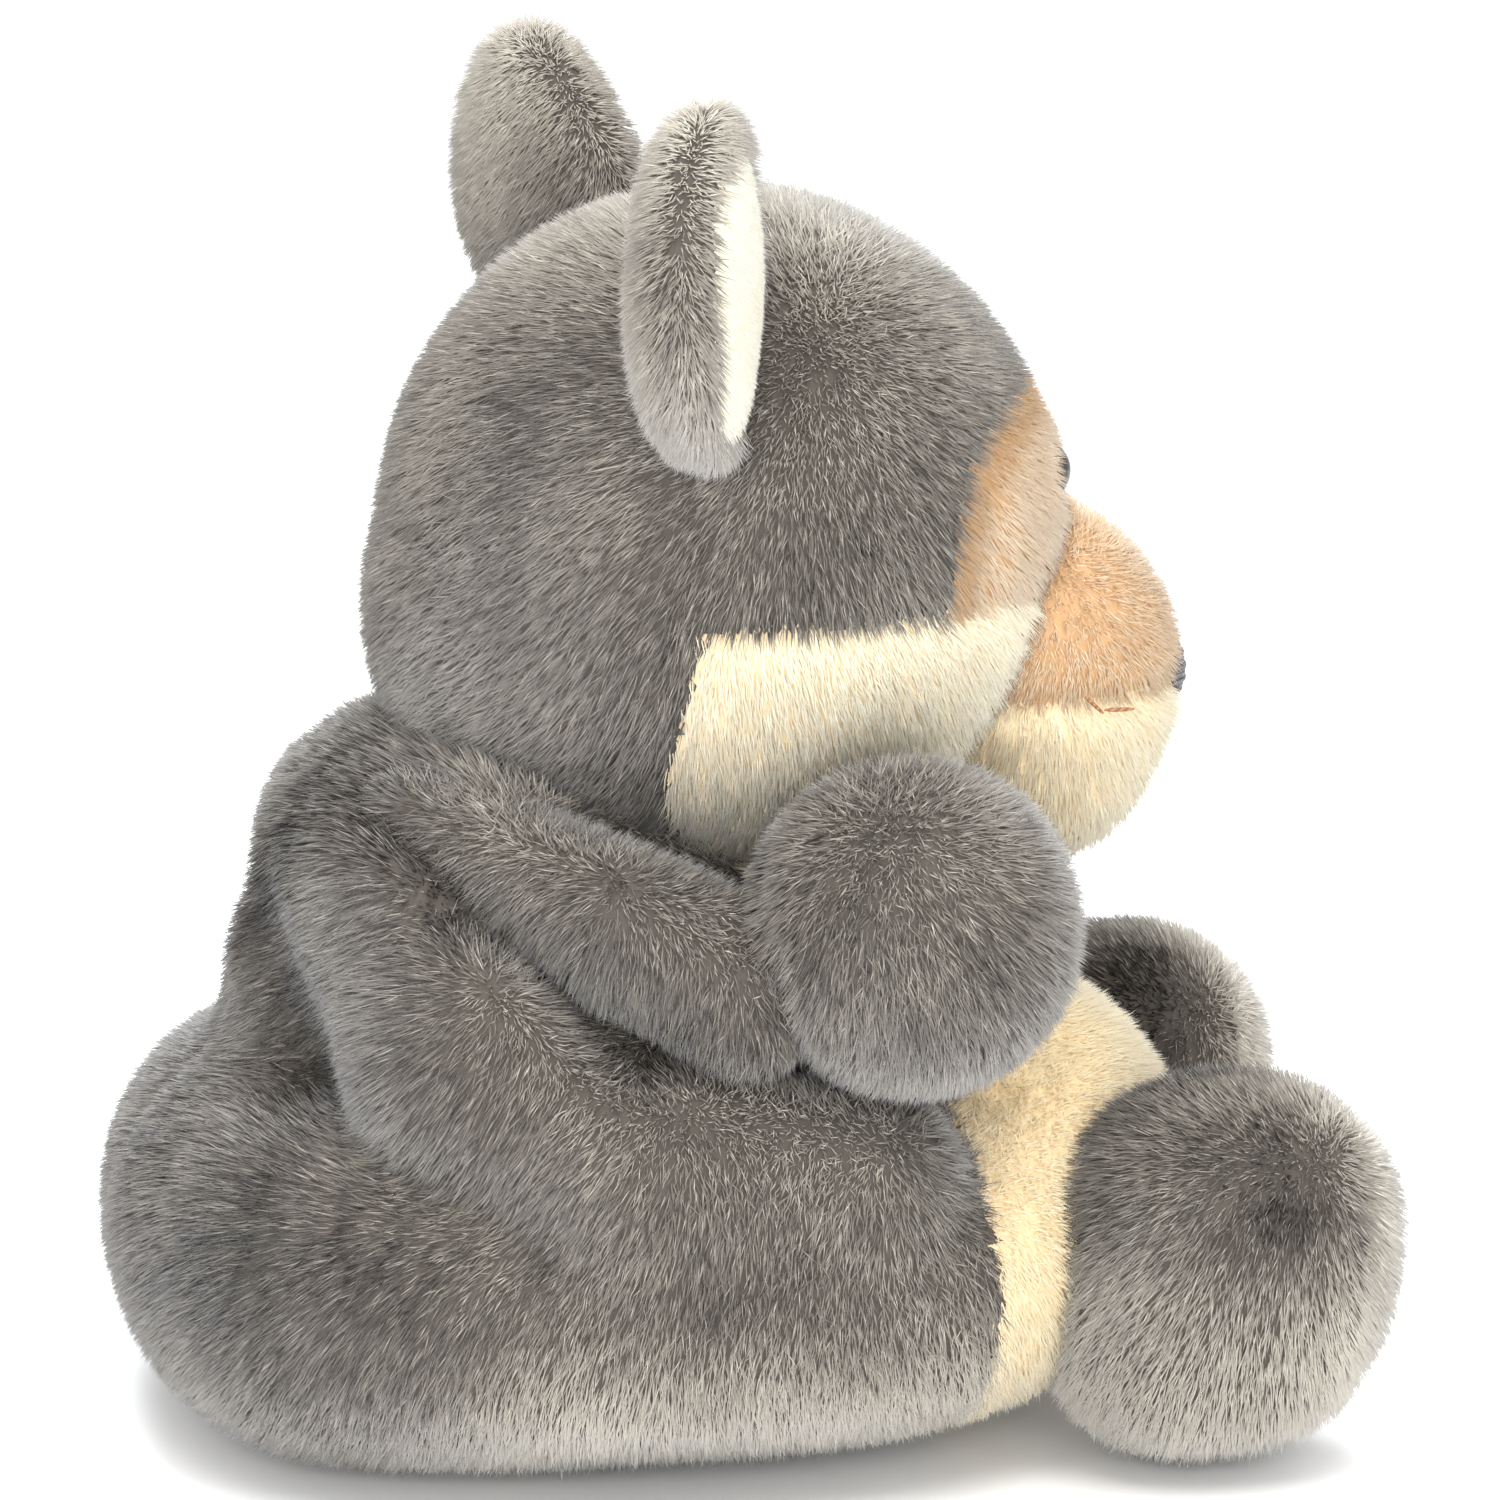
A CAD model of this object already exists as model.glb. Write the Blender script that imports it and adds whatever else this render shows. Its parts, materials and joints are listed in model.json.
"""Looks of a seated stuffed monkey: sewn pile cloth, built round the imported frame.

Forms are distance fields in millimetres, sampled into skins. Each skin is parted into cloth
panels, and each panel carries a pile of short tapered strands. The toy faces -Y.
"""
import bmesh
import bpy
import json
import math
import numpy as np
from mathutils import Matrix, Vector


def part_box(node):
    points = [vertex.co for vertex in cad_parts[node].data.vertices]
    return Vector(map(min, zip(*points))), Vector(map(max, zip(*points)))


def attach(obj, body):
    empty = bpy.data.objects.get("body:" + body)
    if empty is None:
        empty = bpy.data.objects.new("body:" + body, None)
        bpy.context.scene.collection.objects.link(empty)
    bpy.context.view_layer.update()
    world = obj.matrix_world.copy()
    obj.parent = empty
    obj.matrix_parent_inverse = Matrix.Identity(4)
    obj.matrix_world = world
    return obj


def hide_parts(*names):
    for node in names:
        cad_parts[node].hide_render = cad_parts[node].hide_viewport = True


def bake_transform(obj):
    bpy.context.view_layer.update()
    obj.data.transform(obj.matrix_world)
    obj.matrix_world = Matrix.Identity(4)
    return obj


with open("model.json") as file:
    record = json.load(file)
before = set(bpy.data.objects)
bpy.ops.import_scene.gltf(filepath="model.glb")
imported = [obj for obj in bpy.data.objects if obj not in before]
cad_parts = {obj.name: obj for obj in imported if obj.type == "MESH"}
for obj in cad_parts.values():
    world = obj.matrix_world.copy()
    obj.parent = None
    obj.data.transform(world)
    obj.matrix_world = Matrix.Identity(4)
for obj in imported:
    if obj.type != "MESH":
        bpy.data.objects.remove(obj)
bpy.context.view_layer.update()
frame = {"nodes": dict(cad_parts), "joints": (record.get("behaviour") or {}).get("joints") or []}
MM = 0.001
SIDES = (("right", -1), ("left", 1))
JOINTS = {joint["name"]: joint for joint in frame["joints"]}


# ---------------------------------------------------------------- places read from the frame

def box_mm(node):
    """Lowest and highest corner of a CAD node, in millimetres."""
    low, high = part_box(node)
    return np.array(low) / MM, np.array(high) / MM


def joint_mm(name):
    """Place of a joint, in millimetres."""
    return np.array(JOINTS[name]["pos_m"]) / MM


SKIN = 2.2                                   # cloth and pile together, as the CAD panels have it
HEAD = joint_mm("head_nod")
HEAD_RADIUS = (box_mm("head_filling")[1][2] - box_mm("head_filling")[0][2]) / 2 + SKIN
MUZZLE_SEAM_Z = box_mm("chin_panel")[1][2]
CHEEK_SEAM_Z = box_mm("right_cheek_panel")[1][2] + 1.0      # higher: the pile above hangs over it
SOLE_SEAM_Y = box_mm("right_foot_sole")[1][1] + 1.0
FOOT = joint_mm("right_foot_tip")
NECK = np.array([0.0, 0.0, 49.5])
EYE_RADIUS = 3.0
EYE_LOW, EYE_HIGH = box_mm("right_eye")
EYE = np.array([EYE_LOW[0], EYE_LOW[1], EYE_HIGH[2]]) + [EYE_RADIUS, EYE_RADIUS, -EYE_RADIUS]


# ---------------------------------------------------------------- distance fields

def egg(points, centre, radii, power=2.0):
    """Distance to an ellipsoid, or with a higher power to a boxier one."""
    away = points - np.asarray(centre, float)
    scaled = np.abs(away) / np.asarray(radii, float)
    level = np.maximum((scaled ** power).sum(1) ** (1 / power), 1e-6)
    return np.linalg.norm(away, axis=1) * (1 - 1 / level)


def limb(points, start, end, start_radius, end_radius):
    """Distance to a tapered rod with round ends."""
    start, end = np.asarray(start, float), np.asarray(end, float)
    along = end - start
    share = np.clip((points - start) @ along / (along @ along), 0, 1)
    near = start + share[:, None] * along
    return np.linalg.norm(points - near, axis=1) - (start_radius + share * (end_radius - start_radius))


def blend_in(first, second, width):
    """Smooth union of two distance fields."""
    share = np.clip(0.5 + 0.5 * (second - first) / width, 0, 1)
    return second * (1 - share) + first * share - width * share * (1 - share)


def fold(points, route, depth, width):
    """How far a fold along a route of points pulls the surface in."""
    near = np.full(len(points), 1e6)
    for start, end in zip(route[:-1], route[1:]):
        near = np.minimum(near, limb(points, start, end, 0, 0))
    return depth * np.exp(-(near / width) ** 2)


def seam(offset, depth=0.5, width=1.1):
    """How far a seam pulls the surface in, by the distance from its plane."""
    return depth * np.exp(-(offset / width) ** 2)


def mirrored(points, sign):
    """Points on the side of that sign, seen as if on the toy's right side, or back again."""
    flipped = points.copy()
    flipped[:, 0] *= -sign
    return flipped


def folded(points):
    """Every point moved to the toy's right side."""
    right = points.copy()
    right[:, 0] = -np.abs(right[:, 0])
    return right


# ---------------------------------------------------------------- forms of the toy

TORSO = np.array([0.0, 9.0, 28.0])
# centre, radii and, where it isn't round, boxiness of each lump that the torso is blended from
SEAT = ((0, 8.2, 18.6), (46.5, 49.4, 18.0), 2.4)
RUMP = ((0, 29, 18.8), (38, 28.1, 18.4), 2.8)
BACK = ((0, 20.3, 44.5), (24.5, 26.4, 24.6), 2.2)
SHOULDER = ((-16, 27, 54), (14.5, 14.0, 12.2))
BELLY = ((0, -20, 24.5), (31, 23.5, 17.0))
CHEST = ((0, -1, 42), (22, 18.5, 12))
# the roll of cloth down the side: points and the radius at each; then the folds' routes
ROLL = (((-14, 31, 48), 10.5), ((-28, 27, 42), 11.0), ((-36, 13, 31), 10.5), ((-36, -6, 30), 9.5))
BACK_FOLD = ((-6, 46, 52), (-14, 44, 46), (-18, 40, 38))
ARM_FOLD = ((-20, 33, 63), (-27, 28, 57), (-37, 14, 42))
BELLY_DIMPLE = ((-24, -21, 35), (-17, -29, 38))
CLOSING_SEAM_Y = 25.0                        # the seam down the back starts behind this
FLAT_BASE_Z = 0.7
BASE_EDGE_Z = 2.4                            # the base panel ends at this height


def torso_form(points):
    """Weighted seat, rump, back, shoulders, side roll and belly in one soft form."""
    side = folded(points)
    level = egg(points, *SEAT)
    level = blend_in(level, egg(points, *RUMP), 5.0)
    level = blend_in(level, egg(points, *BACK), 9.0)
    level = blend_in(level, egg(side, *SHOULDER), 5.0)
    for (start, start_radius), (end, end_radius) in zip(ROLL[:-1], ROLL[1:]):
        level = blend_in(level, limb(side, start, end, start_radius, end_radius), 4.0)
    level = blend_in(level, egg(points, *BELLY), 5.0)
    level = blend_in(level, egg(points, *CHEST), 5.0)
    level = level + fold(side, BACK_FOLD, 6.0, 3.8) + fold(side, ARM_FOLD, 3.5, 3.8)
    level = level + fold(side, BELLY_DIMPLE, 3.0, 4.0)
    level = level + seam(points[:, 0]) * (points[:, 1] > CLOSING_SEAM_Y)
    return np.maximum(level, FLAT_BASE_Z - points[:, 2])


def belly_edge(points):
    """How far inside the belly panel a point is: a bowed seam below, a bib above."""
    height = np.clip(points[:, 2], 0, 40) / 40
    front = -15.5 - 3.4 * np.sin(np.pi * height) - points[:, 1]
    bib = np.minimum(15 - np.abs(points[:, 0]), np.minimum(8 - points[:, 1], points[:, 2] - 39))
    return np.maximum(front, bib)


def rear_seam(points):
    """Y of the seam behind the cheeks, which runs down from the ear and then forward."""
    drop = CHEEK_SEAM_Z - points[:, 2]
    return 6.6 + 0.17 * np.clip(drop, 0, 14) - 0.05 * np.clip(drop - 14, 0, 14) ** 1.9


def mask_edge(points):
    """Distance outside the outline of the face mask."""
    return egg(points, (0, -34.0, CHEEK_SEAM_Z), (33.0, 23.6, 19.8), 2.6)


HEAD_BALL = (HEAD + [0, 0, 0.2], np.full(3, HEAD_RADIUS - SKIN + 0.4) - [0, 0.4, 0])
JOWLS = ((0, 5.2, 77), (26, 27.8, 22))       # fill the head out low down and behind
EYE_MOUND = (EYE - [1, 1, 0], EYE + [1, -1, 0])
MASK_FOLD = ((-21.5, -23.5, 100), (-23.5, -22, 91), (-24.5, -21, 82))


def head_form(points):
    """Round head: soft mounds at the eyes, a fold at the mask's rear edge, and seams."""
    side = folded(points)
    level = egg(points, *HEAD_BALL)
    level = blend_in(level, egg(points, *JOWLS), 3.0)
    level = level - fold(side, EYE_MOUND, 1.0, 7.0)
    level = level + fold(side, MASK_FOLD, 1.8, 2.2)
    ahead = points[:, 1] < rear_seam(points)
    level = level + seam(points[:, 2] - CHEEK_SEAM_Z, 0.5, 1.2) * ahead
    level = level + seam(points[:, 1] - rear_seam(points), 0.5, 1.2)
    return level


MUZZLE = np.array([0.0, -28.0, 68.0])
MUZZLE_RADII = np.array([18.5, 17.7, 18.1]) - (SKIN - 0.4)
CHIN_RADII = np.array([16.0, 14.6, 12.4]) - (SKIN - 0.4)
MOUTH_FOLD = ((-15.5, -38, 70), (-17.5, -33, 70))


def muzzle_form(points):
    """Upper muzzle and a smaller chin, drawn in along the seam between them."""
    level = egg(points, (0, -28, 70.7), MUZZLE_RADII)
    chin = egg(points, (0, -28.2, 63), CHIN_RADII)
    level = blend_in(level, chin, 2.0)
    side = folded(points)
    level = level + seam(points[:, 2] - MUZZLE_SEAM_Z, 0.8, 1.5)
    return level + fold(side, MOUTH_FOLD, 0.8, 2.0)


ARM_ROOT = np.array([-17.0, 30.5, 60.0])
ARM_BEND = np.array([-32.5, 14.0, 53.8])
ELBOW = np.array([-37.5, 4.0, 47.8])
HAND = np.array([-38.6, -11.0, 54.4])
HAND_RADIUS = 14.3
WRIST_FOLD = ((-38, 3, 62), (-44, 2, 54), (-42, -1, 43))
ARM_MIDDLE = np.array([-37.5, -4.0, 52.0])   # the whole arm's skin can be seen from here


def arm_form(points):
    """Right arm: an upper arm that comes out of the shoulder, and a ball-shaped hand."""
    upper = limb(points, ARM_ROOT, ARM_BEND, 5.6, 6.0)
    upper = blend_in(upper, limb(points, ARM_BEND, ELBOW, 6.0, 6.0), 3.0)
    hand = egg(points, HAND, np.full(3, HAND_RADIUS))
    level = blend_in(upper, hand, 1.6)
    return level + fold(points, WRIST_FOLD, 0.8, 2.0)


FOOT_RADII = np.array([17.2, 17.6, 18.5]) - SKIN + 0.3
FOOT_LEAN = 0.13                             # the toes lean forward by this slope


def foot_form(points):
    """Right foot: a boxy egg that leans, drawn in along the sole's seam."""
    tipped = points + FOOT_LEAN * (points[:, 2:] - FOOT[2]) * [0, 1, 0]
    level = egg(tipped, FOOT, FOOT_RADII, 2.4)
    return level + seam(points[:, 1] - SOLE_SEAM_Y, 0.4, 1.2)


# ---------------------------------------------------------------- sampling a form into a skin

def directions(level):
    """Evenly spread directions, with the triangles between them."""
    mesh = bmesh.new()
    bmesh.ops.create_icosphere(mesh, subdivisions=level, radius=1.0)
    ways = np.array([vertex.co[:] for vertex in mesh.verts])
    faces = np.array([[vertex.index for vertex in face.verts] for face in mesh.faces])
    mesh.free()
    return ways / np.linalg.norm(ways, axis=1)[:, None], faces


REACH = 80.0                                 # every skin lies within this of its centre
MARCHES, MARCH = 60, 0.75                    # steps inwards, and the share of the gap each takes
EASING = 0.4                                 # how far each point moves to its neighbours' mean


def sample(form, centre, level=6):
    """Skin of a form seen whole from its centre: marches in from outside, then eases kinks."""
    ways, faces = directions(level)
    distance = np.full(len(ways), REACH)
    for _ in range(MARCHES):
        step = form(centre + ways * distance[:, None])
        distance = np.maximum(distance - MARCH * step, 0.5)
    total, count = np.zeros(len(ways)), np.zeros(len(ways))
    for corner in range(3):
        np.add.at(total, faces[:, corner], distance[faces[:, corner - 1]])
        np.add.at(count, faces[:, corner], 1)
    distance += EASING * (total / count - distance)
    return centre + ways * distance[:, None], faces


def face_normals(points, faces):
    """Unit normal and area of each triangle."""
    first, second, third = (points[faces[:, corner]] for corner in range(3))
    cross = np.cross(second - first, third - first)
    area = np.linalg.norm(cross, axis=1)
    return cross / area[:, None], area / 2


def vertex_normals(points, faces):
    """Smooth normal at every point."""
    normals, area = face_normals(points, faces)
    total = np.zeros_like(points)
    for corner in range(3):
        np.add.at(total, faces[:, corner], normals * area[:, None])
    return total / np.linalg.norm(total, axis=1)[:, None]


# ---------------------------------------------------------------- mesh pieces

def new_piece(name, points, faces, body, slot_name, material):
    """Mesh piece in metres on a body, or on (body, body, start, end) across a joint."""
    mesh = bpy.data.meshes.new(name)
    mesh.from_pydata(points * MM, [], faces)
    mesh.shade_smooth()
    mesh.update()
    piece = bpy.data.objects.new(name, mesh)
    bpy.context.scene.collection.objects.link(piece)
    mesh.materials.append(material)
    if isinstance(body, str):
        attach(piece, body)
    else:
        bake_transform(piece)
    return piece


def panel_mesh(points, faces, keep):
    """Only the kept faces, with the points that they use."""
    kept = faces[keep]
    used, inverse = np.unique(kept, return_inverse=True)
    return points[used], inverse.reshape(kept.shape)


DENSITY = 8.6         # strands per square millimetre
WIDTH = 0.22         # of a strand at its root
CLUMP = 1.1                                  # size of the tufts that strands gather in
GUARD_SHARE, GUARD_RISE = 0.15, 14           # strands that stand up, and by how many degrees
BRIGHT_SHARE = 0.15                          # strands that catch the light
FLOOR_GAP = 0.1                              # the pile lies flat on the floor, not in it
HIDDEN = 3.0                                 # no pile grows this deep inside another form


def spread_roots(points, faces, density, rng):
    """Even random places on a skin, with the smooth normal at each."""
    _, area = face_normals(points, faces)
    count = int(area.sum() * density)
    face = np.sort(rng.choice(len(faces), count, p=area / area.sum()))
    first, second = rng.random(count), rng.random(count)
    over = first + second > 1
    first[over], second[over] = 1 - first[over], 1 - second[over]
    share = np.stack([1 - first - second, first, second], 1)[:, :, None]
    smooth = vertex_normals(points, faces)
    root = (points[faces[face]] * share).sum(1)
    normal = (smooth[faces[face]] * share).sum(1)
    return root, normal / np.linalg.norm(normal, axis=1)[:, None]


def swirl(points):
    """Slow change of the pile's lie from place to place."""
    x, y, z = points.T / 9.0
    return np.stack([np.sin(1.1 * y + 0.7 * z), np.sin(0.9 * z - 0.8 * x + 1.0),
                     np.sin(1.2 * x + 0.6 * y + 2.0)], 1)


def grow(root, normal, comb, length, lean, tone, rng):
    """Root, tip, normal and shade of every strand of a pile."""
    count = len(root)
    lie = comb(root) + 0.35 * swirl(root) + rng.normal(0, 0.3, (count, 3))
    lie -= (lie * normal).sum(1)[:, None] * normal
    lie /= np.linalg.norm(lie, axis=1)[:, None] + 1e-6
    guard = rng.random(count) < GUARD_SHARE
    tilt = np.radians(lean + rng.normal(0, 8, count) - GUARD_RISE * guard)[:, None]
    way = normal * np.cos(tilt) + lie * np.sin(tilt)
    tip = root + way * (length * rng.uniform(0.7, 1.1, count))[:, None]

    cells = np.floor(root / CLUMP + rng.normal(0, 0.25, (count, 3))).astype(int)
    _, group = np.unique(cells, axis=0, return_inverse=True)
    group = group.ravel()
    size = np.bincount(group)
    middle = np.stack([np.bincount(group, tip[:, axis]) / size for axis in range(3)], 1)
    tip += (middle[group] - tip) * rng.uniform(0.1, 0.55, count)[:, None]
    tip[:, 2] = np.maximum(tip[:, 2], FLOOR_GAP)
    tuft = rng.normal(0, 1, len(size))[group]
    bright = (rng.random(count) < BRIGHT_SHARE) * rng.uniform(0.3, 1.0, count)
    shade = 0.36 + 0.12 * tuft + 0.17 * rng.normal(0, 1, count) + bright + tone(root)
    return root - 0.3 * normal, tip, normal, np.clip(shade, -0.35, 2.0)


def strand_piece(name, pile, body, slot_name, material):
    """One mesh of three-sided tapered strands with tip and shade attributes and its own UV map."""
    root, tip, normal, shade = pile
    count = len(root)
    way = tip - root
    way /= np.linalg.norm(way, axis=1)[:, None]
    across = np.cross(way, normal)
    across /= np.linalg.norm(across, axis=1)[:, None] + 1e-6
    other = np.cross(way, across)
    turn = 2 * math.pi / 3
    ring = [root + 0.5 * WIDTH * (math.cos(turn * n) * across + math.sin(turn * n) * other)
            for n in range(3)]
    points = np.stack(ring + [tip], 1).reshape(-1, 3)
    base = np.arange(count)[:, None] * 4
    faces = np.concatenate([base + np.array([n, (n + 1) % 3, 3]) for n in range(3)], 1).reshape(-1, 3)
    piece = new_piece(name, points, faces, body, slot_name, material)
    mesh = piece.data
    values = {"tip": np.tile([0.0, 0.0, 0.0, 1.0], count), "shade": np.repeat(shade, 4)}
    for attribute, value in values.items():
        layer = mesh.attributes.new(attribute, "FLOAT", "POINT")
        layer.data.foreach_set("value", value.astype(np.float32))
    cells = math.ceil(math.sqrt(count))
    cell = np.stack([np.arange(count) % cells, np.arange(count) // cells], 1)
    place = np.array([[0.2, 0.15], [0.5, 0.15], [0.8, 0.15], [0.5, 0.85]])
    spots = ((cell[:, None, :] + place[None]) / cells).reshape(-1, 2)
    layer = mesh.uv_layers.new(name="OFBake")
    layer.data.foreach_set("uv", spots[faces.ravel()].ravel().astype(np.float32))


# ---------------------------------------------------------------- materials

def node(tree, kind, **values):
    """New shader node with some of its properties set."""
    made = tree.nodes.new(kind)
    for key, value in values.items():
        setattr(made, key, value)
    return made


def new_material(name, roughness, specular):
    """Material with its node tree and shader, ready for a base colour."""
    material = bpy.data.materials.new(name)
    material.use_nodes = True
    tree = material.node_tree
    shader = tree.nodes["Principled BSDF"]
    shader.inputs["Roughness"].default_value = roughness
    shader.inputs["Specular IOR Level"].default_value = specular
    return material, tree, shader


def noise(tree, scale, detail):
    """Noise in the piece's own space, so that it rides with the piece."""
    place = node(tree, "ShaderNodeTexCoord")
    grain = node(tree, "ShaderNodeTexNoise")
    grain.inputs["Scale"].default_value = scale
    grain.inputs["Detail"].default_value = detail
    tree.links.new(place.outputs["Object"], grain.inputs["Vector"])
    return grain.outputs["Fac"]


def mix(tree, factor, first, second):
    """Colour mix; a colour is a tuple or another node's output."""
    made = node(tree, "ShaderNodeMix", data_type="RGBA", clamp_factor=False)
    tree.links.new(factor, made.inputs["Factor"])
    for socket, value in (("A", first), ("B", second)):
        if isinstance(value, tuple):
            made.inputs[socket].default_value = (*value, 1)
        else:
            tree.links.new(value, made.inputs[socket])
    return made.outputs["Result"]


def spread(tree, value, before, after):
    """Value moved from one range to another and held within it."""
    made = node(tree, "ShaderNodeMapRange")
    for socket, number in zip(("From Min", "From Max", "To Min", "To Max"), (*before, *after)):
        made.inputs[socket].default_value = number
    tree.links.new(value, made.inputs["Value"])
    return made.outputs["Result"]


def pile_material(name, root, dark, light):
    """Pile strands: deep colour at the root, dark or light by strand, with soft patches."""
    material, tree, shader = new_material(name, 0.75, 0.3)
    shader.inputs["Sheen Weight"].default_value = 0.35
    shader.inputs["Sheen Roughness"].default_value = 0.4
    shade = node(tree, "ShaderNodeAttribute", attribute_name="shade")
    tip = node(tree, "ShaderNodeAttribute", attribute_name="tip")
    patch = spread(tree, noise(tree, 70.0, 4.0), (0.3, 0.7), (-0.3, 0.3))
    total = node(tree, "ShaderNodeMath", operation="ADD")
    tree.links.new(shade.outputs["Fac"], total.inputs[0])
    tree.links.new(patch, total.inputs[1])
    strand = mix(tree, total.outputs[0], dark, light)
    deep = mix(tree, spread(tree, tip.outputs["Fac"], (0.0, 0.5), (0.0, 1.0)), root, strand)
    frosted = mix(tree, spread(tree, tip.outputs["Fac"], (0.6, 1.0), (0.0, 0.3)), deep, light)
    tree.links.new(frosted, shader.inputs["Base Color"])
    return material


def grained_material(name, dark, light, finish, grain_size, bump, depth):
    """Fine mottling between two colours with a matching relief; depth is in millimetres."""
    material, tree, shader = new_material(name, *finish)
    grain = noise(tree, *grain_size)
    tree.links.new(mix(tree, grain, dark, light), shader.inputs["Base Color"])
    relief = node(tree, "ShaderNodeBump")
    relief.inputs["Strength"].default_value = bump
    relief.inputs["Distance"].default_value = depth * MM
    tree.links.new(grain, relief.inputs["Height"])
    tree.links.new(relief.outputs["Normal"], shader.inputs["Normal"])
    return material


def cloth_material(name, dark, light, scale=900.0, bump=0.5):
    """Knitted backing, plain cloth or another dull surface."""
    return grained_material(name, dark, light, (0.9, 0.2), (scale, 4.0), bump, 0.3)


def plastic_material(name, dark, light, roughness):
    """Moulded plastic: nearly one colour, with a faint orange-peel relief."""
    return grained_material(name, dark, light, (roughness, 0.5), (1500.0, 2.0), 0.03, 0.1)


def thread_material(name, dark, light):
    """Twisted thread: fine bands across its run with a silky gloss."""
    material, tree, shader = new_material(name, 0.45, 0.5)
    place = node(tree, "ShaderNodeTexCoord")
    twist = node(tree, "ShaderNodeTexWave", bands_direction="DIAGONAL")
    twist.inputs["Scale"].default_value = 900.0
    twist.inputs["Distortion"].default_value = 2.0
    tree.links.new(place.outputs["Object"], twist.inputs["Vector"])
    tree.links.new(mix(tree, twist.outputs["Fac"], dark, light), shader.inputs["Base Color"])
    return material


COLOURS = {
    # colour at a strand's root, then of a dark and a light strand
    "grey": ((0.085, 0.075, 0.065), (0.085, 0.075, 0.064), (0.34, 0.313, 0.27)),
    "pale_grey": ((0.28, 0.25, 0.21), (0.36, 0.33, 0.28), (0.70, 0.66, 0.59)),
    "cream": ((0.76, 0.60, 0.38), (0.80, 0.68, 0.46), (0.90, 0.825, 0.635)),
    "tan": ((0.46, 0.27, 0.13), (0.53, 0.36, 0.21), (0.68, 0.54, 0.39)),
    "ivory": ((0.78, 0.72, 0.55), (0.86, 0.81, 0.65), (0.95, 0.93, 0.82)),
}
PILE = {name: pile_material(name + "_pile", *tones) for name, tones in COLOURS.items()}
CLOTH = {name: cloth_material(name + "_cloth", tones[0], tones[1]) for name, tones in COLOURS.items()}
FIBRE = cloth_material("fibre_fill", (0.75, 0.74, 0.70), (0.92, 0.91, 0.88), scale=300.0, bump=0.8)
SLOTS = {"grey": "grey_pile", "pale_grey": "pale_grey_pile", "cream": "cream_pile",
         "tan": "tan_pile", "ivory": "ivory_velour"}


# ---------------------------------------------------------------- dressing a skin

def comb_down(points):
    """Pile that lies downwards and a little back."""
    return np.tile(np.array([0.0, 0.15, -1.0]), (len(points), 1))


def even(points):
    """No change of tone."""
    return np.zeros(len(points))


def panel(name, colour, rule, nodes, length=2.7, lean=47.0, thin=1.0, tone=even, comb=comb_down):
    """One cloth panel.

    rule says which points are on it, nodes are the CAD nodes it stands for, length and lean are
    the pile's in millimetres and degrees, and thin is the share of its strands that are kept.
    """
    return dict(name=name, colour=colour, rule=rule, nodes=nodes, length=length, lean=lean,
                thin=thin, tone=tone, comb=comb)


def dress(skin, body, panels, seed, hidden=None, density=1.0):
    """Parts a skin into panels, each a cloth piece and a pile piece."""
    points, faces = skin
    rng = np.random.default_rng(seed)
    root, normal = spread_roots(points, faces, DENSITY * density, rng)
    if hidden:
        shown = ~hidden(root)
        root, normal = root[shown], normal[shown]
    middle = points[faces].mean(1)
    for part in panels:
        cloth = new_piece(part["name"] + "_cloth", *panel_mesh(points, faces, part["rule"](middle)),
                          body, SLOTS[part["colour"]], CLOTH[part["colour"]])
        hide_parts(*part["nodes"])
        near = root + rng.normal(0, 0.35, root.shape)
        mine = part["rule"](near) & (rng.random(len(root)) < part["thin"])
        pile = grow(root[mine], normal[mine], part["comb"], part["length"], part["lean"],
                    part["tone"], rng)
        strand_piece(part["name"] + "_pile", pile, body, SLOTS[part["colour"]], PILE[part["colour"]])
        print(part["name"], int(mine.sum()), "strands")


def stuff(name, form, centre, inset, body, nodes, level=4):
    """Fibre filling: the form drawn in by inset, with soft lumps."""
    def lumpy(points):
        lumps = np.sin(points[:, 0] * 0.9) * np.sin(points[:, 1] * 0.8 + 1) * np.sin(points[:, 2] * 0.85)
        return form(points) + inset + 0.4 * lumps
    piece = new_piece(name, *sample(lumpy, centre, level), body, "fibre_filling", FIBRE)
    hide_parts(*nodes)


def on_side(rule, sign):
    """The same rule, kept to one side of the toy."""
    return lambda points: rule(points) & (points[:, 0] * sign > 0)


# ---------------------------------------------------------------- the toy's panels

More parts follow.
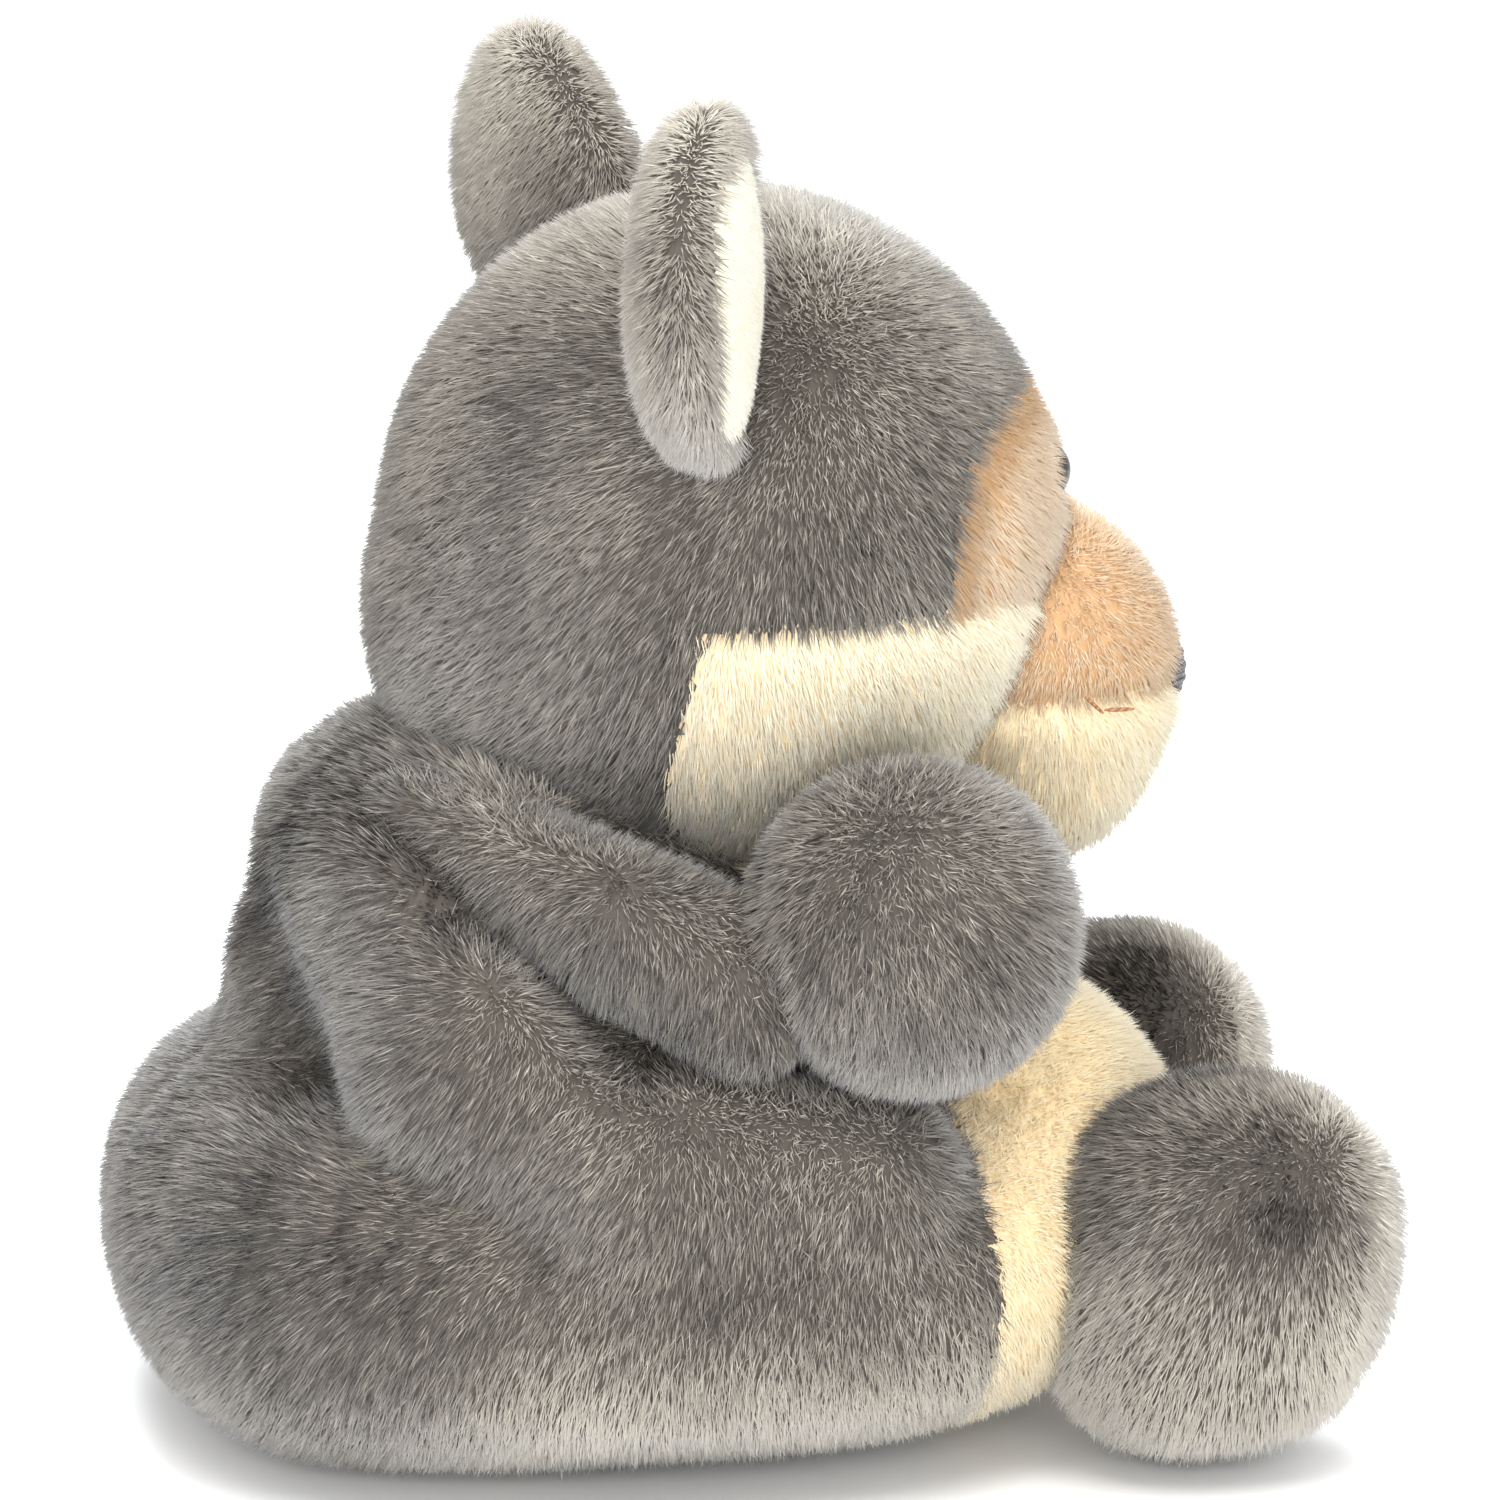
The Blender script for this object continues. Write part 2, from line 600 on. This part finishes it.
def make_torso():
    """Base, belly and side panels, with the stuffing of torso and neck."""
    def base(points):
        return points[:, 2] < BASE_EDGE_Z

    def belly(points):
        return ~base(points) & (belly_edge(points) > 0)

    def flank(points):
        return ~base(points) & (belly_edge(points) <= 0)

    def comb(points):
        back = np.clip((points[:, 1] - 5) / 40, 0, 1)
        return np.stack([np.zeros(len(points)), 0.1 + 0.7 * back, -np.ones(len(points))], 1)

    def tone(points):
        low = np.clip((21 - points[:, 2]) / 16, 0, 1) * np.clip((40 - points[:, 1]) / 20, 0, 1)
        rear = np.clip((points[:, 1] - 25) / 15, 0, 1) * np.clip((points[:, 2] - 8) / 10, 0, 1)
        crease = fold(folded(points), BACK_FOLD, 0.9, 5.0) + fold(folded(points), ARM_FOLD, 0.5, 4.5)
        return 2.4 * low - 0.4 * rear - crease

    def blush(points):
        return -0.2 - 1.1 * fold(folded(points), BELLY_DIMPLE, 1.0, 4.5)

    def hidden(points):
        in_head = np.linalg.norm(points - HEAD, axis=1) < HEAD_RADIUS - 4.5
        in_arm = arm_form(folded(points)) < -HIDDEN
        return in_head | in_arm

    panels = [panel("base_panel", "grey", base, ["base_panel"], length=1.0, lean=78.0, thin=0.35),
              panel("belly_panel", "cream", belly, ["belly_panel"], length=2.6, tone=blush)]
    for side, sign in SIDES:
        panels.append(panel(side + "_side_panel", "grey", on_side(flank, sign),
                            [side + "_side_panel"], thin=0.9, tone=tone, comb=comb))
    dress(sample(torso_form, TORSO), "torso", panels, 1, hidden)
    stuff("torso_stuffing", torso_form, TORSO, 2.2, "torso", ["body_filling"], 5)
    stuff("neck_stuffing", lambda spots: egg(spots, NECK, (6.6, 6.6, 5.5)), NECK, 0.2, "neck",
          ["neck_filling"])


def make_head():
    """Back, side, cheek and mask panels; no pile grows at the eyes or inside the muzzle."""
    def back(points):
        return points[:, 1] > rear_seam(points)

    def cheek(points):
        return ~back(points) & (points[:, 2] < CHEEK_SEAM_Z)

    def mask(points):
        return ~back(points) & ~cheek(points) & (mask_edge(points) < 0)

    def brow(points):
        return ~back(points) & ~cheek(points) & (mask_edge(points) >= 0)

    def comb_back(points):
        return np.tile(np.array([0.0, 0.9, -0.8]), (len(points), 1))

    def comb_brow(points):
        forward = np.clip(-points[:, 1] / 25, -0.3, 1)
        return np.stack([np.zeros(len(points)), 0.5 - 0.8 * forward, -np.ones(len(points))], 1)

    def tone(points):
        crown = np.clip((points[:, 2] - 96) / 22, 0, 1)
        behind_ear = np.exp(-((folded(points) - [-29, 17, 104]) ** 2).sum(1) / 60)
        return 0.8 * crown ** 1.5 - 0.25 * behind_ear

    def flush(points):
        return 0.5 - 1.5 * np.exp(-((mask_edge(points) + 1.5) / 2.5) ** 2)

    def pale(points):
        return np.full(len(points), 0.65)

    def hidden(points):
        at_eye = np.linalg.norm(folded(points) - EYE, axis=1) < EYE_RADIUS + 0.2
        return (muzzle_form(points) < -HIDDEN) | at_eye

    panels = [panel("head_back_panel", "grey", back, ["head_back_panel"], tone=tone, comb=comb_back),
              panel("face_mask", "tan", mask, ["face_mask"], length=2.4, tone=flush)]
    for side, sign in SIDES:
        panels.append(panel(side + "_head_panel", "grey", on_side(brow, sign),
                            [side + "_head_panel"], tone=tone, comb=comb_brow))
        panels.append(panel(side + "_cheek_panel", "cream", on_side(cheek, sign),
                            [side + "_cheek_panel"], length=2.6, tone=pale))
    dress(sample(head_form, HEAD), "head", panels, 2, hidden)
    stuff("head_stuffing", head_form, HEAD, 2.0, "head", ["head_filling"], 5)


def make_muzzle():
    """Upper muzzle and chin, open where they are sewn on to the head."""
    def upper(points):
        return (head_form(points) > -2.0) & (points[:, 2] > MUZZLE_SEAM_Z)

    def chin(points):
        return (head_form(points) > -2.0) & (points[:, 2] <= MUZZLE_SEAM_Z)

    def comb(points):
        level = np.ones(len(points))
        return np.stack([0.02 * points[:, 0], 0.6 * level, -0.5 * level], 1)

    def hidden(points):
        at_nose = egg(points, (0, -44, MUZZLE_SEAM_Z), (5.0, 4.0, 2.4)) < 0
        return (head_form(points) < -1.5) | at_nose

    dress(sample(muzzle_form, MUZZLE), "head", [
        panel("muzzle_panel", "tan", upper, ["muzzle_panel"], length=2.2, comb=comb),
        panel("chin_panel", "cream", chin, ["chin_panel"], length=2.6)], 3, hidden)
    stuff("muzzle_stuffing", muzzle_form, MUZZLE, 1.8, "head", ["muzzle_filling"])


def make_arms():
    """Both arms; each blends from torso to arm between its root and its elbow."""
    points, faces = sample(arm_form, ARM_MIDDLE)
    for number, (side, sign) in enumerate(SIDES):
        skin = mirrored(points, sign), faces if sign < 0 else faces[:, ::-1]
        root, elbow = mirrored(np.array([ARM_ROOT, ELBOW]), sign)
        body = ("torso", side + "_arm", root, elbow)

        def outer(spots):
            return spots[:, 0] * sign > 37.5 - 0.35 * np.clip(spots[:, 1] + 6, 0, 40)

        def palm(spots):
            return ~outer(spots)

        def tone(spots):
            return -0.25 * np.clip((spots[:, 1] + 4) / 8, 0, 1)

        def hidden(spots):
            return torso_form(spots) < -HIDDEN

        dress(skin, body, [
            panel(side + "_arm", "grey", outer, [side + "_arm_panel"], tone=tone),
            panel(side + "_palm", "grey", palm, [side + "_palm_panel"], tone=tone)],
              4 + number, hidden)
        stuff(side + "_arm_stuffing", lambda spots: arm_form(mirrored(spots, sign)),
              mirrored(ARM_MIDDLE[None], sign)[0], 2.0, body, [side + "_arm_filling"])


FOOT_SHIFT = {"right": (0.0, 0.4, 0.5), "left": (0.0, -3.4, 0.0)}      # hand-sewn: the feet differ


def make_feet():
    """Both feet: two dark patches on top, pale below and along the sole's seam."""
    points, faces = sample(foot_form, FOOT)
    for number, (side, sign) in enumerate(SIDES):
        seam_y = SOLE_SEAM_Y - 0.2 + FOOT_SHIFT[side][1]
        skin = mirrored(points, sign) + FOOT_SHIFT[side], faces if sign < 0 else faces[:, ::-1]

        def sole(spots):
            return spots[:, 1] < seam_y

        def upper(spots):
            return ~sole(spots)

        def tone(spots):
            dark = np.exp(-((spots - [sign * 44, -49, 27]) ** 2 / [160, 90, 50]).sum(1))
            dark += np.exp(-((spots - [sign * 22, -46, 34]) ** 2 / [60, 80, 60]).sum(1))
            front = np.exp(-((spots[:, 1] - seam_y) / 5) ** 2)
            return 1.7 * np.clip((26 - spots[:, 2]) / 20, 0, 1) + 0.9 * front - 0.8 * dark

        def comb(spots):
            return np.tile(np.array([0.0, 0.55, -1.0]), (len(spots), 1))

        dress(skin, side + "_foot", [
            panel(side + "_foot_upper", "grey", upper, [side + "_foot_upper"], tone=tone, comb=comb),
            panel(side + "_foot_sole", "pale_grey", sole, [side + "_foot_sole"], length=2.6)], 6 + number)
        stuff(side + "_foot_stuffing", lambda spots: foot_form(mirrored(spots, sign)),
              mirrored(FOOT[None], sign)[0], 3.2, side + "_foot", [side + "_foot_filling"])


EAR_SHIFT = {"right": (0.0, -3.8, 0.0), "left": (0.0, -0.2, 0.0)}      # hand-sewn: the ears differ
EAR_SIZE = {"right": 0.97, "left": 1.03}
EAR_LEAN = {"right": 0.0, "left": 0.14}
EAR_BACK = ((0, 0, 0), (15.2, 15.5, 5.4), 2.3)
EAR_LINING = ((0, 0, 0), (15.2, 15.5, 4.2), 2.6)


def make_ears():
    """Both ears, each a thick disc in its own frame: along the hinge, outwards and forwards."""
    for number, (side, sign) in enumerate(SIDES):
        joint = JOINTS[side + "_ear_bend"]
        root = np.array(joint["pos_m"]) / MM
        along = np.array(joint["axis"]) * (-sign)
        out = (root - HEAD) / np.linalg.norm(root - HEAD)
        front = np.cross(along, out)
        front *= -np.sign(front[1])
        centre = root + 1.2 * along + 6.6 * out + EAR_SHIFT[side]

        def local(points):
            away = points - centre
            away[:, 1] -= EAR_LEAN[side] * away[:, 2]
            return np.stack([away @ along, away @ out, away @ front], 1)

        def ear_form(points):
            spot = local(points) / EAR_SIZE[side]
            spot[:, 0] /= 1 + 0.006 * spot[:, 1]
            return np.where(spot[:, 2] < 0, egg(spot, *EAR_BACK), egg(spot, *EAR_LINING))

        def lining_rule(points):
            spot = local(points)
            return (spot[:, 2] > 0.2) & ((spot[:, 0] / 13.2) ** 2 + (spot[:, 1] / 13.4) ** 2 < 1)

        def back_rule(points):
            return ~lining_rule(points)

        def tone(points):
            return 0.6 + 0.4 * np.clip((points[:, 2] - 118) / 12, 0, 1)

        def hidden(points):
            return head_form(points) < -3.5

        dress(sample(ear_form, centre, 5), side + "_ear", [
            panel(side + "_ear_back", "grey", back_rule, [side + "_ear_back"], length=2.6, tone=tone),
            panel(side + "_ear_lining", "ivory", lining_rule, [side + "_ear_lining"], length=1.0,
                  lean=60)], 8 + number, hidden, 1.3)


# ---------------------------------------------------------------- thread, eyes and pellets

NOSE_THREAD = thread_material("nose_thread", (0.035, 0.035, 0.042), (0.13, 0.13, 0.145))
BROWN_THREAD = thread_material("brown_thread", (0.16, 0.06, 0.02), (0.36, 0.17, 0.07))
GREY_THREAD = thread_material("grey_thread", (0.12, 0.11, 0.10), (0.26, 0.24, 0.22))
BAG_CLOTH = cloth_material("bag_cloth", (0.70, 0.68, 0.62), (0.86, 0.84, 0.78), scale=2000.0)
PELLET = plastic_material("pellet_plastic", (0.78, 0.78, 0.74), (0.88, 0.88, 0.85), 0.35)
WASHER = plastic_material("washer_plastic", (0.72, 0.72, 0.70), (0.84, 0.84, 0.82), 0.4)
EYE_PLASTIC = plastic_material("eye_plastic", (0.010, 0.008, 0.007), (0.016, 0.012, 0.010), 0.07)
RING = 8                                     # sides of a thread


def threads(name, routes, radius, body, slot_name, material, nodes):
    """Closed tubes along routes of points, in one piece."""
    points, faces = [], []
    for route in routes:
        route = np.asarray(route, float)
        way = np.gradient(route, axis=0)
        way /= np.linalg.norm(way, axis=1)[:, None]
        side = np.cross(way, [0.13, 0.21, 0.97])
        side /= np.linalg.norm(side, axis=1)[:, None]
        other = np.cross(way, side)
        start = len(points)
        for step, spot in enumerate(route):
            thick = radius * (0.55 if step in (0, len(route) - 1) else 1.0)
            for corner in range(RING):
                angle = 2 * math.pi * corner / RING
                rim = math.cos(angle) * side[step] + math.sin(angle) * other[step]
                points.append(spot + thick * rim)
        for step in range(len(route) - 1):
            for corner in range(RING):
                here, there = start + step * RING, start + (step + 1) * RING
                after = (corner + 1) % RING
                faces.append((here + corner, here + after, there + after, there + corner))
        faces.append(tuple(start + corner for corner in reversed(range(RING))))
        faces.append(tuple(len(points) - RING + corner for corner in range(RING)))
    piece = new_piece(name, np.array(points), faces, body, slot_name, material)
    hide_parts(*nodes)


NOSE_DOME_Z = 70.5


def muzzle_front(x, z, lift):
    """Point over the muzzle's front at that x and z, lifted off the cloth."""
    wide, deep, tall = MUZZLE_RADII
    dome = 1 - (x / wide) ** 2 - ((z - NOSE_DOME_Z) / tall) ** 2
    return (x, MUZZLE[1] - deep * math.sqrt(max(dome, 0)) - lift, z)


def make_nose():
    """Satin stitch: rows across a small oval, domed in the middle and tucked in at the ends."""
    rows = 9
    nose = []
    for row in range(rows):
        height = 2.3 * (2 * row / (rows - 1) - 1)
        wide = 5.2 * math.sqrt(1 - (height / 2.9) ** 2)
        rise = 0.9 + 0.4 * (1 - (height / 2.6) ** 2) + 0.12 * (row % 2)
        nose.append([muzzle_front(x, MUZZLE_SEAM_Z + height - 0.012 * x * x,
                                  rise - 1.3 * (abs(x) / wide) ** 4)
                     for x in np.linspace(-wide, wide, 13)])
    threads("nose_embroidery_stitches", nose, 0.34, "head", "nose_thread", NOSE_THREAD,
            ["nose_embroidery"])


def make_mouth_corners():
    """Two short stitches at each corner of the mouth."""
    corners = []
    for _, sign in SIDES:
        corners.append([(sign * (18.6 - 0.1 * n), -31.6 - 0.45 * n, 71.0 - 0.42 * n) for n in range(5)])
        corners.append([(sign * (18.1 - 0.22 * n), -33.6 - 0.75 * n, 69.6 - 0.05 * n) for n in range(5)])
    threads("mouth_corner_threads", corners, 0.2, "head", "brown_thread", BROWN_THREAD,
            ["mouth_corner_stitches"])


def make_closing_seam():
    """Hand stitches over the seam down the back, each bowed over the cloth."""
    low, high = box_mm("closing_stitches")
    count = 7
    closing = []
    for number in range(count):
        height = low[2] + (high[2] - low[2]) * (number + 0.5) / count
        probe = np.array([[0.0, y, height] for y in np.linspace(66, 40, 105)])
        back = probe[np.argmax(torso_form(probe) < 0)][1]
        closing.append([(x, back + 0.5 - 0.12 * x * x, height + 0.2 * x)
                        for x in np.linspace(-1.8, 1.8, 7)])
    threads("closing_seam_stitches", closing, 0.3, "torso", "grey_thread", GREY_THREAD,
            ["closing_stitches"])


def make_bag():
    """Inner bag that holds the pellets."""
    low, high = box_mm("pellet_bag")
    centre, half = (low + high) / 2, (high - low) / 2

    def bag_form(points):
        wrinkle = 0.25 * np.sin(0.7 * points[:, 0] + 0.3 * points[:, 1]) * np.sin(0.6 * points[:, 1])
        return egg(points, centre, half) + 0.3 + wrinkle

    piece = new_piece("pellet_bag_cloth", *sample(bag_form, centre, 5), "torso", "bag_cloth", BAG_CLOTH)
    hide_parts("pellet_bag")


make_torso()
make_head()
make_muzzle()
make_arms()
make_feet()
make_ears()
make_nose()
make_mouth_corners()
make_closing_seam()
make_bag()
# CAD nodes that are shown as they are
CARRIED = {"pellets": PELLET, "right_eye": EYE_PLASTIC, "left_eye": EYE_PLASTIC,
           "right_eye_washer": WASHER, "left_eye_washer": WASHER}
for carried_name, carried_material in CARRIED.items():
    carried = frame["nodes"][carried_name].data
    carried.materials.clear()
    carried.materials.append(carried_material)


# ---------------------------------------------------------------- floor, light and camera

def make_stage():
    """Pale floor and an even white surround."""
    mesh = bpy.data.meshes.new("floor")
    half = 3.0
    mesh.from_pydata([(-half, -half, 0), (half, -half, 0), (half, half, 0), (-half, half, 0)], [],
                     [(0, 1, 2, 3)])
    floor = bpy.data.objects.new("floor", mesh)
    bpy.context.scene.collection.objects.link(floor)
    mesh.materials.append(cloth_material("floor_paint", (0.90, 0.90, 0.90), (0.94, 0.94, 0.94), 4.0, 0.0))
    world = bpy.data.worlds.new("studio")
    world.use_nodes = True
    world.node_tree.nodes["Background"].inputs["Color"].default_value = (1, 1, 1, 1)
    world.node_tree.nodes["Background"].inputs["Strength"].default_value = 1.15
    bpy.context.scene.world = world


AZIMUTH, ELEVATION, DISTANCE = 260.0, 12.0, 0.6
TARGET = Vector((0.0102, -0.0047, 0.0609))
LENS = 147.0


def way_back(azimuth, elevation):
    """Direction from the toy towards a camera or light."""
    turn, rise = math.radians(azimuth), math.radians(elevation)
    return Vector((math.sin(turn) * math.cos(rise), -math.cos(turn) * math.cos(rise), math.sin(rise)))


def area_light(name, azimuth, elevation, size, power, colour, distance=0.9):
    """Square soft light that faces the toy."""
    light = bpy.data.lights.new(name, "AREA")
    light.size = size
    light.energy = power
    light.color = colour
    lamp = bpy.data.objects.new(name, light)
    way = way_back(azimuth, elevation)
    lamp.location = TARGET + way * distance
    lamp.rotation_euler = way.to_track_quat("Z", "Y").to_euler()
    bpy.context.scene.collection.objects.link(lamp)


def make_camera():
    """Camera that looks at the toy from its right side and a little above."""
    back = way_back(AZIMUTH, ELEVATION)
    lens = bpy.data.cameras.new("camera")
    lens.lens = LENS
    lens.clip_start = 0.01
    camera = bpy.data.objects.new("camera", lens)
    camera.location = TARGET + back * DISTANCE
    camera.rotation_euler = back.to_track_quat("Z", "Y").to_euler()
    bpy.context.scene.collection.objects.link(camera)
    bpy.context.scene.camera = camera


make_stage()
# name, azimuth and elevation of the light from the toy, size, power, colour
LIGHTS = (("key", 262, 65, 0.6, 7.5, (1.0, 0.99, 0.97)),
          ("fill", 258, 0, 0.9, 14.5, (1.0, 1.0, 1.0)),
          ("rim", 95, 55, 0.5, 8.0, (0.88, 0.94, 1.0)))
for light_name, turn, rise, light_size, power, colour in LIGHTS:
    area_light(light_name, turn, rise, light_size, power, colour)
make_camera()
bpy.context.scene.view_settings.view_transform = "Standard"

bpy.context.view_layer.update()
